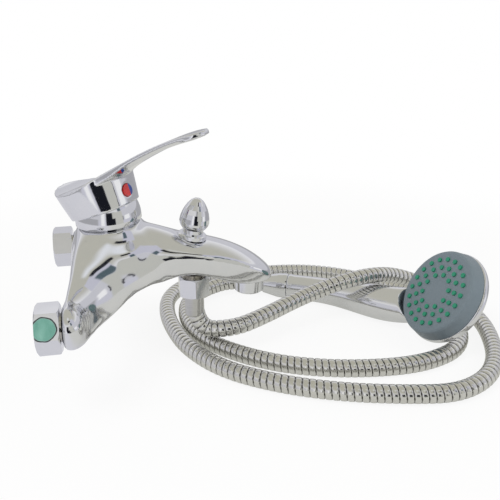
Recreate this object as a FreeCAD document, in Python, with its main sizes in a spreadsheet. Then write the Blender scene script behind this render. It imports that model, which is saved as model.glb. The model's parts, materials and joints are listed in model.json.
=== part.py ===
import FreeCAD, Part
import math
import os
import Sketcher

# Wall-mounted single-lever bath mixer with a diverter, a metal shower hose and a handset.
# Millimetres. +X leaves the wall, +Y runs along the two inlets, +Z is up.
# The origin lies midway between the inlets, in the plane of the union nut mouths.

V = FreeCAD.Vector
doc = FreeCAD.newDocument("bath_mixer")
sheet = doc.addObject("Spreadsheet::Sheet", "dims")
nodes = []
rows = [0]


# Numbers that remember the sheet cell they came from
class Size:
    def __init__(self, value, text):
        self.value = float(value)
        self.text = text

    def __add__(self, other):
        return mixed(self, "+", other)

    def __radd__(self, other):
        return mixed(other, "+", self)

    def __sub__(self, other):
        return mixed(self, "-", other)

    def __rsub__(self, other):
        return mixed(other, "-", self)

    def __mul__(self, other):
        return mixed(self, "*", other)

    def __rmul__(self, other):
        return mixed(other, "*", self)

    def __truediv__(self, other):
        return mixed(self, "/", other)

    def __rtruediv__(self, other):
        return mixed(other, "/", self)

    def __neg__(self):
        return mixed(0, "-", self)


def sized(number):
    if isinstance(number, Size):
        return number
    return Size(number, repr(float(number)))


def mixed(first, sign, second):
    first = sized(first)
    second = sized(second)
    text = "(" + first.text + " " + sign + " " + second.text + ")"
    if sign == "+":
        return Size(first.value + second.value, text)
    if sign == "-":
        return Size(first.value - second.value, text)
    if sign == "*":
        return Size(first.value * second.value, text)
    return Size(first.value / second.value, text)


def cell(alias, value, note):
    rows[0] += 1
    row = str(rows[0])
    sheet.set("A" + row, note)
    sheet.set("B" + row, str(value))
    sheet.setAlias("B" + row, alias)
    return Size(value, "dims." + alias)


# Wall connection
inlet_span = cell("inlet_span", 150, "distance between the two inlets")
union_flat = cell("union_flat", 30, "union nut across flats")
union_length = cell("union_length", 15.5, "union nut length")
union_thread_r = cell("union_thread_r", 12.06, "union nut thread crest radius, G3/4")
union_thread_length = cell("union_thread_length", 8.5, "usable thread in the union nut")
union_front = cell("union_front", 2.8, "front wall of the union nut")
tail_r = cell("tail_r", 9, "union tail outer radius")
tail_bore_r = cell("tail_bore_r", 6.5, "union tail bore radius")
tail_flange_r = cell("tail_flange_r", 11.76, "union tail flange radius")
tail_flange = cell("tail_flange", 2, "union tail flange thickness")
tail_end_x = cell("tail_end_x", 21, "inner end of the union tail")
washer_thick = cell("washer_thick", 2, "sealing washer thickness")

# Clearances
turn_gap = cell("turn_gap", 0.3, "gap between pieces that move on each other")
seat_gap = cell("seat_gap", 0.05, "gap between pieces fixed in one another")
face_gap = cell("face_gap", 0.3, "gap between end faces that pass each other")

# Cast body
leg_face_x = cell("leg_face_x", 16, "wall-side face of the inlet legs")
leg_bullet_r = cell("leg_bullet_r", 15, "radius of the leg end boss")
leg_bullet_x = cell("leg_bullet_x", 27, "front of the leg end boss")
leg_back_x = cell("leg_back_x", 17, "wall-side face between the legs")
waterway_r = cell("waterway_r", 5, "cast waterway radius")
waterway_knee_x = cell("waterway_knee_x", 27.5, "bend of the leg waterway in front of the wall")
waterway_knee_y = cell("waterway_knee_y", 40, "bend of the leg waterway from the middle")
dome_tilt = cell("dome_tilt", 4.5, "backward tilt of the cartridge axis in degrees")
pivot_x = cell("pivot_x", 49, "lever pivot ahead of the wall plane")
pivot_z = cell("pivot_z", 50, "lever pivot above the inlets")

# Cartridge
housing_r = cell("housing_r", 17.5, "cartridge housing radius")
housing_neck_r = cell("housing_neck_r", 13, "cartridge neck radius")
housing_base_s = cell("housing_base_s", 30, "cartridge base below the pivot")
shoulder_s = cell("shoulder_s", 8, "cartridge shoulder below the pivot")
housing_wall = cell("housing_wall", 2, "cartridge housing wall")
base_thick = cell("base_thick", 4, "cartridge base thickness")
disc_thick = cell("disc_thick", 3.4, "ceramic disc thickness")
disc_r = cell("disc_r", 12, "moving ceramic disc radius")
port_r = cell("port_r", 3.2, "water port radius in the cartridge")
port_offset = cell("port_offset", 8, "water port distance from the axis")
rotor_r = cell("rotor_r", 10, "turning insert radius")
stem_half = cell("stem_half", 3.8, "half width of the square stem")
foot_half = cell("foot_half", 2.5, "half width of the stem foot")
foot_reach = cell("foot_reach", 18, "stem foot below the pivot")
pin_r = cell("pin_r", 1.5, "stem pin radius")
nut_bore_r = cell("nut_bore_r", 13.3, "cartridge nut bore radius")
nut_r = cell("nut_r", 20, "cartridge nut radius")
neck_r = cell("neck_r", 22.1, "cast neck radius around the cartridge nut")

# Dome cover under the lever
dome_r = cell("dome_r", 24.1, "dome cover radius")
dome_open = cell("dome_open", 36, "dome cover opening, degrees above its middle")
dome_foot_s = cell("dome_foot_s", 7, "dome cover foot below the pivot")
neck_top_s = cell("neck_top_s", 5, "top of the cast neck below the pivot")

# Lever
lever_turn = cell("lever_turn", 40, "lever turned toward the cold side in the drawn pose, degrees")
lever_lift = cell("lever_lift", 15.7, "lever lift in the drawn pose, degrees")
skirt_wall = cell("skirt_wall", 1.5, "lever skirt wall at its lower rim")
skirt_rise = cell("skirt_rise", 5, "lever skirt rim above the pivot")
cavity_top = cell("cavity_top", 16, "depth of the cavity in the lever")
hub_r = cell("hub_r", 8, "lever hub radius")
blade_end = cell("blade_end", 107.5, "lever tip from the skirt axis")
index_r = cell("index_r", 4.4, "index plug radius")
index_rise = cell("index_rise", 9.6, "index plug above the skirt rim")
screw_r = cell("screw_r", 2, "grub screw radius")

# Diverter
knob_x = cell("knob_x", 110, "diverter axis ahead of the wall plane")
knob_z = cell("knob_z", 28.4, "spout top at the diverter")
knob_tilt = cell("knob_tilt", 10, "forward tilt of the diverter axis in degrees")
collar_r = cell("collar_r", 11, "diverter collar radius")
collar_rise = cell("collar_rise", 3.5, "diverter collar height")
bush_r = cell("bush_r", 8, "diverter bush radius")
bush_top = cell("bush_top", 7, "diverter bush height")
knob_height = cell("knob_height", 24.2, "diverter knob height")
knob_r = cell("knob_r", 11.5, "diverter knob largest radius")
stem_r = cell("stem_r", 3, "diverter stem radius")
chamber_r = cell("chamber_r", 7.5, "diverter chamber radius")
chamber_depth = cell("chamber_depth", 22, "diverter chamber depth")
valve_r = cell("valve_r", 6.9, "diverter valve radius")
valve_thick = cell("valve_thick", 3.5, "diverter valve thickness")

# Spout and aerator
aerator_x = cell("aerator_x", 154.6, "aerator axis ahead of the wall plane")
aerator_r = cell("aerator_r", 11.8, "aerator housing radius")
aerator_thread_r = cell("aerator_thread_r", 10.2, "aerator thread radius")
aerator_top_z = cell("aerator_top_z", -7, "aerator shoulder height")
aerator_length = cell("aerator_length", 12, "aerator housing below its shoulder")
aerator_screw = cell("aerator_screw", 6, "aerator thread length")

# Shower outlet
outlet_x = cell("outlet_x", 110.2, "shower outlet ahead of the wall plane")
outlet_z = cell("outlet_z", -3.2, "underside of the outlet boss")
outlet_boss_r = cell("outlet_boss_r", 10.8, "outlet boss radius")
nipple_r = cell("nipple_r", 9.9, "outlet nipple radius, G1/2")
nipple_bore_r = cell("nipple_bore_r", 5, "outlet nipple bore radius")
hose_nut_flat = cell("hose_nut_flat", 23, "hose nut across flats")
hose_nut_top = cell("hose_nut_top", -3.5, "hose nut top height")
hose_nut_length = cell("hose_nut_length", 15.5, "hose nut length")
hose_r = cell("hose_r", 7, "hose outer radius")
hose_bore_r = cell("hose_bore_r", 4.6, "hose bore radius")
hose_groove = cell("hose_groove", 0.6, "depth between the hose ribs")
hose_start_z = cell("hose_start_z", -20.5, "upper end of the hose")
ferrule_r = cell("ferrule_r", 7.7, "hose ferrule radius")
ferrule_length = cell("ferrule_length", 16.5, "hose ferrule length over the hose")

# Handset
table_z = cell("table_z", -72, "surface under the hose and the handset")
cone_x = cell("cone_x", 188.3, "small end of the cone nut, X")
cone_y = cell("cone_y", 94.6, "small end of the cone nut, Y")
cone_turn = cell("cone_turn", 25.8, "cone nut axis turned from +X in degrees")
cone_small_r = cell("cone_small_r", 8.5, "cone nut small end radius")
cone_large_r = cell("cone_large_r", 12, "cone nut large end radius")
cone_length = cell("cone_length", 23.4, "cone nut length")
handle_r = cell("handle_r", 11.4, "handset handle radius at the nut")
head_x = cell("head_x", 305.1, "handset face centre, X")
head_y = cell("head_y", -24.6, "handset face centre, Y")
head_z = cell("head_z", -24.0, "handset face centre, Z")
head_r = cell("head_r", 36.6, "handset face radius")
rim_depth = cell("rim_depth", 11.5, "depth of the grey rim")
shell_depth = cell("shell_depth", 10, "depth of the back shell behind the rim")
plate_thick = cell("plate_thick", 2.5, "face plate thickness")
nozzle_r = cell("nozzle_r", 1.9, "spray nozzle radius")
nozzle_rise = cell("nozzle_rise", 1.3, "spray nozzles above the face")
ring_outer = cell("ring_outer", 28.2, "outer nozzle circle radius")
ring_middle = cell("ring_middle", 20.9, "middle nozzle circle radius")
ring_inner = cell("ring_inner", 14.4, "inner nozzle circle radius")
doc.recompute()


# Shared ways of building

def bind(thing, prop, size):
    size = sized(size)
    if "." in prop:
        thing.setExpression(prop, size.text)
        return
    setattr(thing, prop, size.value)
    if "dims." in size.text:
        thing.setExpression(prop, size.text)


def place(thing, where, direction=None, spin=0.0):
    numbers = [sized(part) for part in where]
    turn = FreeCAD.Rotation()
    if direction is not None:
        turn = FreeCAD.Rotation(V(0, 0, 1), direction)
    turn = turn.multiply(FreeCAD.Rotation(V(0, 0, 1), spin))
    thing.Placement = FreeCAD.Placement(V(*[number.value for number in numbers]), turn)
    for axis, number in zip("xyz", numbers):
        if "dims." in number.text:
            thing.setExpression("Placement.Base." + axis, number.text)
    return thing


def keep(thing, label):
    thing.Label = label
    nodes.append(thing)
    return thing


def new_body(name):
    return doc.addObject("PartDesign::Body", name)


def new_sketch(body, role):
    sketch = body.newObject("Sketcher::SketchObject", body.Name + "_sketch")
    for feature in body.Origin.OriginFeatures:
        if feature.Role == role:
            sketch.AttachmentSupport = [(feature, "")]
    sketch.MapMode = "FlatFace"
    return sketch


def hold_point(sketch, geo, end, size, across):
    size = sized(size)
    kind = "DistanceX" if across else "DistanceY"
    if abs(size.value) < 1e-9:
        sketch.addConstraint(Sketcher.Constraint("PointOnObject", geo, end, -2 if across else -1))
        return
    if size.value > 0:
        index = sketch.addConstraint(Sketcher.Constraint(kind, -1, 1, geo, end, size.value))
        text = size.text
    else:
        index = sketch.addConstraint(Sketcher.Constraint(kind, geo, end, -1, 1, -size.value))
        text = "-1 * " + size.text
    if "dims." in text:
        sketch.setExpression("Constraints[" + str(index) + "]", text)


def outline(sketch, points):
    points = [(sized(point[0]), sized(point[1])) for point in points]
    count = len(points)
    first = sketch.GeometryCount
    for number in range(count):
        here = points[number]
        there = points[(number + 1) % count]
        start = V(here[0].value, here[1].value, 0)
        stop = V(there[0].value, there[1].value, 0)
        sketch.addGeometry(Part.LineSegment(start, stop), False)
    for number in range(count):
        following = first + (number + 1) % count
        sketch.addConstraint(Sketcher.Constraint("Coincident", first + number, 2, following, 1))
    for number in range(count):
        hold_point(sketch, first + number, 1, points[number][0], True)
        hold_point(sketch, first + number, 1, points[number][1], False)


def circle(sketch, x, y, radius):
    x = sized(x)
    y = sized(y)
    radius = sized(radius)
    geo = sketch.addGeometry(Part.Circle(V(x.value, y.value, 0), V(0, 0, 1), radius.value), False)
    index = sketch.addConstraint(Sketcher.Constraint("Radius", geo, radius.value))
    if "dims." in radius.text:
        sketch.setExpression("Constraints[" + str(index) + "]", radius.text)
    hold_point(sketch, geo, 3, x, True)
    hold_point(sketch, geo, 3, y, False)


def revolved(body, points):
    sketch = new_sketch(body, "XZ_Plane")
    outline(sketch, points)
    feature = body.newObject("PartDesign::Revolution", body.Name + "_turned")
    feature.Profile = sketch
    feature.ReferenceAxis = (sketch, ["V_Axis"])
    feature.Angle = 360
    body.Tip = feature
    return feature


def grooved(body, points):
    sketch = new_sketch(body, "XZ_Plane")
    outline(sketch, points)
    feature = body.newObject("PartDesign::Groove", body.Name + "_groove")
    feature.Profile = sketch
    feature.ReferenceAxis = (sketch, ["V_Axis"])
    feature.Angle = 360
    body.Tip = feature
    return feature


def padded(body, draw, length, name="pad"):
    sketch = new_sketch(body, "XY_Plane")
    draw(sketch)
    feature = body.newObject("PartDesign::Pad", body.Name + "_" + name)
    feature.Profile = sketch
    bind(feature, "Length", length)
    body.Tip = feature
    return feature


def drilled(body, draw, name="pocket"):
    sketch = new_sketch(body, "XY_Plane")
    draw(sketch)
    feature = body.newObject("PartDesign::Pocket", body.Name + "_" + name)
    feature.Profile = sketch
    feature.Type = 1
    feature.Midplane = True
    body.Tip = feature
    return feature


def repeated(body, feature, count):
    pattern = body.newObject("PartDesign::PolarPattern", feature.Name + "_ring")
    pattern.Originals = [feature]
    pattern.Axis = (feature.Profile[0], ["N_Axis"])
    pattern.Angle = 360
    pattern.Occurrences = count
    body.Tip = pattern
    return pattern


def turned_node(label, points, where, direction=None):
    body = new_body(label)
    revolved(body, points)
    place(body, where, direction)
    return keep(body, label)


def hexagon(sketch, flats):
    half = sized(flats) / 2
    corner = half * (2 / math.sqrt(3))
    side = corner / 2
    points = [(corner, 0), (side, half), (-side, half), (-corner, 0), (-side, -half), (side, -half)]
    outline(sketch, points)


def bevelled_nut(label, flats, length, where, direction=None, spin=0.0):
    body = new_body(label)
    padded(body, lambda sketch: hexagon(sketch, flats), length)
    half = sized(flats) / 2
    corner = half * 1.17
    reach = half * 1.02
    drop = (corner - reach) * 0.6
    grooved(body, [(reach, 0), (corner, 0), (corner, drop)])
    grooved(body, [(reach, length), (corner, sized(length) - drop), (corner, length)])
    place(body, where, direction, spin)
    return keep(body, label)


def rod(name, radius, start, stop):
    radius = sized(radius)
    run = stop - start
    thing = doc.addObject("Part::Cylinder", name)
    bind(thing, "Radius", radius)
    thing.Height = run.Length
    thing.Placement = FreeCAD.Placement(start, FreeCAD.Rotation(V(0, 0, 1), run))
    return thing


def solid(name, shape):
    thing = doc.addObject("Part::Feature", name)
    thing.Shape = shape
    return thing


def joined(name, parts):
    thing = doc.addObject("Part::MultiFuse", name)
    thing.Shapes = parts
    thing.Refine = False
    return thing


def without(name, base, tools):
    if len(tools) == 1:
        tool = tools[0]
    else:
        tool = doc.addObject("Part::MultiFuse", name + "_tools")
        tool.Shapes = tools
        tool.Refine = False
    thing = doc.addObject("Part::Cut", name)
    thing.Base = base
    thing.Refine = False
    thing.Tool = tool
    return thing


def degrees_cos(angle):
    return math.cos(math.radians(angle.value))


def degrees_sin(angle):
    return math.sin(math.radians(angle.value))


# Directions
tilt_c = degrees_cos(dome_tilt)
tilt_s = degrees_sin(dome_tilt)
dome_axis = V(-tilt_s, 0, tilt_c)
dome_front = V(tilt_c, 0, tilt_s)
side = V(0, -1, 0)
turn_c = degrees_cos(lever_turn)
turn_s = degrees_sin(lever_turn)
blade_flat = dome_front * turn_c + side * turn_s
lift_axis = side * turn_c - dome_front * turn_s
lift_c = degrees_cos(lever_lift)
lift_s = degrees_sin(lever_lift)
blade_dir = blade_flat * lift_c + dome_axis * lift_s
skirt_axis = dome_axis * lift_c - blade_flat * lift_s
knob_axis = V(degrees_sin(knob_tilt), 0, degrees_cos(knob_tilt))
pivot = (pivot_x, 0, pivot_z)
pivot_point = V(pivot_x.value, 0, pivot_z.value)
wall_dir = V(1, 0, 0)
half_span = inlet_span / 2
skirt_r = dome_r + skirt_wall


def along(start, direction, distance):
    distance = sized(distance)
    point = start + direction * distance.value
    return (point.x, point.y, point.z)


def frame_of(x_dir, z_dir):
    y_dir = z_dir.cross(x_dir)
    matrix = FreeCAD.Matrix(x_dir.x, y_dir.x, z_dir.x, 0, x_dir.y, y_dir.y, z_dir.y, 0,
                            x_dir.z, y_dir.z, z_dir.z, 0, 0, 0, 0, 1)
    return FreeCAD.Placement(matrix).Rotation


# Inlet unions, one set per inlet
wall_x = union_length - union_front
flange_x = wall_x - face_gap - tail_flange
for ending, sign in (("near", -1), ("far", 1)):
    y = half_span * sign
    nut = bevelled_nut("union_nut_" + ending, union_flat, union_length, (0, y, 0), wall_dir, 30)
    grooved(nut, [(0, 0), (union_thread_r, 0), (union_thread_r, union_thread_length),
                  (union_thread_r + 0.4, union_thread_length + 0.4), (union_thread_r + 0.4, wall_x),
                  (tail_r + turn_gap, wall_x), (tail_r + turn_gap, union_length), (0, union_length)])
    turned_node("union_tail_" + ending,
                [(tail_bore_r, flange_x), (tail_flange_r, flange_x),
                 (tail_flange_r, flange_x + tail_flange), (tail_r, flange_x + tail_flange),
                 (tail_r, tail_end_x), (tail_bore_r, tail_end_x)], (0, y, 0), wall_dir)
    turned_node("inlet_washer_" + ending,
                [(tail_bore_r, flange_x - washer_thick), (tail_flange_r - 0.1, flange_x - washer_thick),
                 (tail_flange_r - 0.1, flange_x), (tail_bore_r, flange_x)], (0, y, 0), wall_dir)

# Cast body: one smooth loft across both legs, one along the spout, and the cartridge housing
back = leg_back_x.value
half_y = half_span.value
leg_sections = [
    (1.18, -8, 22, 22.5, -3, 20.5, 3.5, 17.5, 6),
    (1.1, -14.5, 27.5, 26.5, -6, 23, 7.5, 17.5, 11),
    (1.0, -15.6, 31, 28.5, -6.3, 25, 9.5, 17, 14),
    (0.867, -15, 35.5, 31.6, -4.3, 26, 11.5, 18, 16),
    (0.76, -14, 40, 36.3, -0.7, 29, 14.5, 18.5, 18.5),
    (0.667, -12.5, 46, 42.4, 2.8, 33, 18, 19.5, 21),
    (0.587, -8.5, 54, 50.4, 7.8, 37, 23, 21, 24.5),
    (0.507, -3, 62.5, 60.7, 12.7, 42, 28, 22, 28.5),
    (0.44, 0.5, 71, 68.6, 15.6, 46, 32, 22.5, 31.5),
    (0.36, 3, 84, 82, 20, 52, 37.5, 24, 35.5),
    (0.0, 3, 95, 94, 24, 56, 44, 24, 40),
]


def leg_wire(share, low, front, crease_x, crease_z, mid_x, mid_z, top_x, top_z):
    y_at = share * half_y
    first = V(back, y_at, low)
    second = V(front, y_at, low)
    crease = V(crease_x, y_at, crease_z)
    middle = V(mid_x, y_at, mid_z)
    top = V(top_x, y_at, top_z)
    return Part.Wire([Part.makeLine(first, second), Part.makeLine(second, crease),
                      Part.Arc(crease, middle, top).toShape(), Part.makeLine(top, first)])


wires = [leg_wire(-row[0], *row[1:]) for row in leg_sections]
wires += [leg_wire(*row) for row in reversed(leg_sections[:-1])]
legs = solid("cast_legs", Part.makeLoft(wires, True, False))

spout_sections = [
    (46, 24, 24, 40, 19, 0),
    (62, 26, 23, 43, 21, 0),
    (80, 26.5, 22, 40.5, 22, 0),
    (97, 25.3, 23, 34.3, 21, 3.5),
    (118, 24.3, 20.5, 28, 20.3, 1.5),
    (140, 21.5, 14.6, 21, 18, -7),
    (155, 18.5, 7.6, 13.2, 15, -10.5),
    (166, 13.6, 0.8, 4.8, 11.5, -10.8),
    (173, 7, -5, -2.6, 6, -10),
]


def spout_wire(x_at, half_wide, crease_z, top_z, half_low, low_z):
    first = V(x_at, -half_low, low_z)
    second = V(x_at, half_low, low_z)
    third = V(x_at, half_wide, crease_z)
    top = V(x_at, 0, top_z)
    fourth = V(x_at, -half_wide, crease_z)
    return Part.Wire([Part.makeLine(first, second), Part.makeLine(second, third),
                      Part.Arc(third, top, fourth).toShape(), Part.makeLine(fourth, first)])


spout = solid("cast_spout", Part.makeLoft([spout_wire(*row) for row in spout_sections], True, False))

tower_body = new_body("cast_tower")
revolved(tower_body, [(0, -44), (31, -40), (36, -28), (36, -22), (32.4, -18.5), (28.8, -15.5), (26.2, -12.5),
                      (24.7, -9.5), (24, -dome_foot_s), (neck_r, -dome_foot_s), (neck_r, -neck_top_s),
                      (0, -neck_top_s)])
place(tower_body, pivot, dome_axis)
tower_trim = doc.addObject("Part::Box", "tower_trim")
tower_trim.Length = 60
tower_trim.Width = 120
tower_trim.Height = 62
place(tower_trim, (leg_back_x + 3 - 60, -60, -20))
tower = without("cast_tower_trimmed", tower_body, [tower_trim])

bullets = []
for ending, sign in (("near", -1), ("far", 1)):
    bullet = new_body("leg_boss_" + ending)
    round_off = leg_bullet_r * 0.3
    nose = leg_bullet_x
    revolved(bullet, [(0, leg_face_x), (leg_bullet_r - 1, leg_face_x), (leg_bullet_r, leg_face_x + 1),
                      (leg_bullet_r, nose - round_off * 2), (leg_bullet_r - round_off * 0.6, nose - round_off * 0.9),
                      (leg_bullet_r - round_off * 1.6, nose - round_off * 0.2), (0, nose)])
    place(bullet, (0, half_span * sign, 0), wall_dir)
    bullets.append(bullet)

boss = doc.addObject("Part::Cylinder", "outlet_boss")
bind(boss, "Radius", outlet_boss_r)
bind(boss, "Height", 12 - outlet_z)
place(boss, (outlet_x, 0, outlet_z))

tip_boss = doc.addObject("Part::Cylinder", "aerator_boss")
bind(tip_boss, "Radius", aerator_r + 0.7)
bind(tip_boss, "Height", 10)
place(tip_boss, (aerator_x, 0, aerator_top_z))

casting_outside = joined("casting_outside", [legs, spout, tower] + bullets + [boss, tip_boss])

cavities = []
chamber = new_body("cartridge_chamber")
chamber_low = -housing_base_s - 0.3
thread_r = nut_r + seat_gap
revolved(chamber, [(0, chamber_low), (housing_r + 0.2, chamber_low), (housing_r + 0.2, -shoulder_s - 0.2),
                   (thread_r, -shoulder_s - 0.2), (thread_r, 1), (0, 1)])
place(chamber, pivot, dome_axis)
cavities.append(chamber)
cover_seat = new_body("cover_seat")
revolved(cover_seat, [(neck_r, -dome_foot_s), (dome_r + 6, -dome_foot_s), (dome_r + 6, 12), (neck_r, 12)])
place(cover_seat, pivot, dome_axis)
cavities.append(cover_seat)
port_floor = along(pivot_point, dome_axis, chamber_low)
for sign in (-1, 1):
    y_at = half_y * sign
    cavities.append(rod("tail_seat", tail_r + seat_gap, V(leg_face_x.value - 1, y_at, 0), V(tail_end_x.value + 0.2, y_at, 0)))
    leg_stop = V(tail_end_x.value + 1, y_at, 0)
    knee = V(waterway_knee_x.value, waterway_knee_y.value * sign, 8)
    port_stop = V(port_floor[0] - 1, port_offset.value * sign, port_floor[2] + 1.5)
    cavities.append(rod("leg_waterway", waterway_r, leg_stop, knee))
    knee_back = knee - leg_stop
    knee_back.normalize()
    cavities.append(rod("port_waterway", waterway_r * 0.97, knee - knee_back * 2, port_stop))
knob_point = V(knob_x.value, 0, knob_z.value)
valve_floor = V(*along(knob_point, knob_axis, -chamber_depth))
diverter_bore = rod("diverter_bore", chamber_r, valve_floor, V(*along(knob_point, knob_axis, 12)))
cavities.append(diverter_bore)
cavities.append(rod("collar_seat", collar_r + seat_gap, knob_point, V(*along(knob_point, knob_axis, 12))))
mixed_port = V(port_floor[0] + port_offset.value * 0.9, 0, port_floor[2] + 1.5)
feed_stop = V(*along(knob_point, knob_axis, -chamber_depth * 0.72))
cavities.append(rod("mixed_waterway", waterway_r * 0.8, mixed_port, feed_stop))
spout_start = V(*along(knob_point, knob_axis, -chamber_depth * 0.4))
cavities.append(rod("spout_waterway", waterway_r * 0.8, spout_start, V(aerator_x.value, 0, 2)))
aerator_bore_top = aerator_top_z + aerator_screw + 2.4
cavities.append(rod("aerator_bore", aerator_thread_r + seat_gap,
                    V(aerator_x.value, 0, aerator_top_z.value - 1), V(aerator_x.value, 0, aerator_bore_top.value)))
cavities.append(rod("aerator_seat", aerator_r + turn_gap, V(aerator_x.value, 0, aerator_top_z.value),
                    V(aerator_x.value, 0, aerator_top_z.value - 8)))
nipple_seat_r = nipple_bore_r + 2
nipple_seat_z = outlet_z + 5
cavities.append(rod("nipple_seat", nipple_seat_r + seat_gap,
                    V(outlet_x.value, 0, outlet_z.value - 1), V(outlet_x.value, 0, nipple_seat_z.value + 0.2)))
cavities.append(rod("outlet_waterway", nipple_bore_r,
                    V(outlet_x.value, 0, outlet_z.value), V(*along(valve_floor, knob_axis, 0.5))))
casting = without("body_casting", casting_outside, cavities)
keep(casting, "body_casting")

# Cartridge, measured along its own axis from the lever pivot
inner_r = housing_r - housing_wall
base_s = -housing_base_s
disc_s = base_s + base_thick
slider_s = disc_s + disc_thick
carrier_s = slider_s + disc_thick + 0.05
carrier_top = carrier_s + 5
rotor_low = carrier_top + face_gap
roof_s = -shoulder_s
turned_node("cartridge_housing",
            [(inner_r, base_s), (housing_r, base_s), (housing_r, roof_s), (housing_neck_r, roof_s),
             (housing_neck_r, 1), (rotor_r + turn_gap, 1), (rotor_r + turn_gap, rotor_low - seat_gap),
             (inner_r, rotor_low - seat_gap)], pivot, dome_axis)


def port_holes(sketch):
    circle(sketch, 0, port_offset, port_r)
    circle(sketch, 0, -port_offset, port_r)
    circle(sketch, port_offset * 0.9, 0, port_r * 0.9)


base = new_body("cartridge_base")
revolved(base, [(0, base_s), (inner_r - seat_gap, base_s), (inner_r - seat_gap, disc_s), (0, disc_s)])
drilled(base, port_holes)
place(base, pivot, dome_axis)
keep(base, "cartridge_base")

fixed = new_body("fixed_disc")
revolved(fixed, [(0, disc_s), (inner_r - 0.4, disc_s), (inner_r - 0.4, slider_s), (0, slider_s)])
drilled(fixed, port_holes)
place(fixed, pivot, dome_axis)
keep(fixed, "fixed_disc")

seals = []
for name, across, forward in (("seal_hot", 1, 0), ("seal_cold", -1, 0), ("seal_mixed", 0, 1)):
    seal = new_body(name)
    revolved(seal, [(port_r, base_s - 0.25), (port_r + 0.9, base_s - 0.25), (port_r + 0.9, base_s), (port_r, base_s)])
    offset = dome_front * (forward * port_offset.value * 0.9) + V(0, across * port_offset.value, 0)
    centre = pivot_point + offset
    place(seal, (centre.x, centre.y, centre.z), dome_axis)
    seals.append(seal)
port_seals = doc.addObject("Part::Compound", "port_seals")
port_seals.Links = seals
keep(port_seals, "port_seals")

# Moving disc and its carrier follow the stem foot across the cartridge
foot_mid = 16.5
disc_mid = foot_mid * math.sin(math.radians(10)) - 0.01
foot_offset = foot_mid * lift_s
slide_offset = foot_offset - disc_mid
slide_rotation = frame_of(blade_flat, dome_axis)
slide_origin = pivot_point + blade_flat * slide_offset

moving = new_body("moving_disc")
revolved(moving, [(0, slider_s + 0.05), (disc_r, slider_s + 0.05), (disc_r, carrier_s), (0, carrier_s)])
moving.Placement = FreeCAD.Placement(slide_origin, slide_rotation)
keep(moving, "moving_disc")

pocket_half = foot_half + 1.4
carrier = new_body("carrier_blank")
revolved(carrier, [(0, carrier_s), (disc_r - 0.2, carrier_s), (disc_r - 0.2, carrier_top), (0, carrier_top)])
carrier_pocket = doc.addObject("Part::Box", "carrier_pocket")
bind(carrier_pocket, "Length", pocket_half * 2)
bind(carrier_pocket, "Width", foot_half * 2 + turn_gap * 2)
carrier_pocket.Height = 5
pocket_corner = V(disc_mid - pocket_half.value, -foot_half.value - turn_gap.value, carrier_s.value + 0.6)
carrier.Placement = FreeCAD.Placement(slide_origin, slide_rotation)
carrier_pocket.Placement = carrier.Placement.multiply(FreeCAD.Placement(pocket_corner, FreeCAD.Rotation()))
keep(without("carrier_cut", carrier, [carrier_pocket]), "disc_carrier")

# Turning insert with the pin that the stem rocks on
rotor = new_body("rotor_blank")
revolved(rotor, [(0, rotor_low), (rotor_r, rotor_low), (rotor_r, 2), (0, 2)])
rotor.Placement = FreeCAD.Placement(pivot_point, slide_rotation)
slot = doc.addObject("Part::Box", "rotor_slot")
slot.Length = 13.4
bind(slot, "Width", stem_half * 2 + turn_gap * 2)
slot.Height = 30
slot_corner = V(-5.6, -stem_half.value - turn_gap.value, -20)
slot.Placement = rotor.Placement.multiply(FreeCAD.Placement(slot_corner, FreeCAD.Rotation()))
pin_half = rotor_r.value - 0.4
pin_hole = rod("pin_hole", pin_r + 0.02, pivot_point - lift_axis * pin_half, pivot_point + lift_axis * pin_half)
keep(without("rotor_cut", rotor, [slot, pin_hole]), "cartridge_rotor")
pin = rod("stem_pin", pin_r, pivot_point - lift_axis * (pin_half - 0.2), pivot_point + lift_axis * (pin_half - 0.2))
keep(pin, "stem_pin")

# Lever frame: x along the blade, z along the skirt axis, origin at the skirt rim centre
skirt_centre = pivot_point + skirt_axis * skirt_rise.value
lever_rotation = frame_of(blade_dir, skirt_axis)
lever_place = FreeCAD.Placement(skirt_centre, lever_rotation)

stem_parts = []
upper = doc.addObject("Part::Box", "stem_upper")
bind(upper, "Length", stem_half * 2)
bind(upper, "Width", stem_half * 2)
upper_low = -skirt_rise - 4.5
bind(upper, "Height", 12.5 - upper_low)
upper.Placement = lever_place.multiply(FreeCAD.Placement(V(-stem_half.value, -stem_half.value, upper_low.value),
                                                         FreeCAD.Rotation()))
lower = doc.addObject("Part::Box", "stem_foot")
bind(lower, "Length", foot_half * 2)
bind(lower, "Width", foot_half * 2)
foot_low = -skirt_rise - foot_reach + 0.2
bind(lower, "Height", upper_low - foot_low + 1)
lower.Placement = lever_place.multiply(FreeCAD.Placement(V(-foot_half.value, -foot_half.value, foot_low.value),
                                                         FreeCAD.Rotation()))
stem_blank = joined("stem_blank", [upper, lower])
stem_hole = rod("stem_hole", pin_r + 0.04, pivot_point - lift_axis * 12, pivot_point + lift_axis * 12)
keep(without("stem_cut", stem_blank, [stem_hole]), "cartridge_stem")

# Ring nut that clamps the cartridge
ring_nut = new_body("cartridge_nut")
revolved(ring_nut, [(nut_bore_r, roof_s), (nut_r, roof_s), (nut_r, -1.3), (nut_bore_r, -1.3)])


def notch(sketch):
    outline(sketch, [(nut_bore_r - 1, 1.5), (nut_bore_r - 1, -1.5), (nut_bore_r + 2, -1.5), (nut_bore_r + 2, 1.5)])


repeated(ring_nut, drilled(ring_nut, notch), 6)
place(ring_nut, pivot, dome_axis)
keep(ring_nut, "cartridge_nut")

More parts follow.
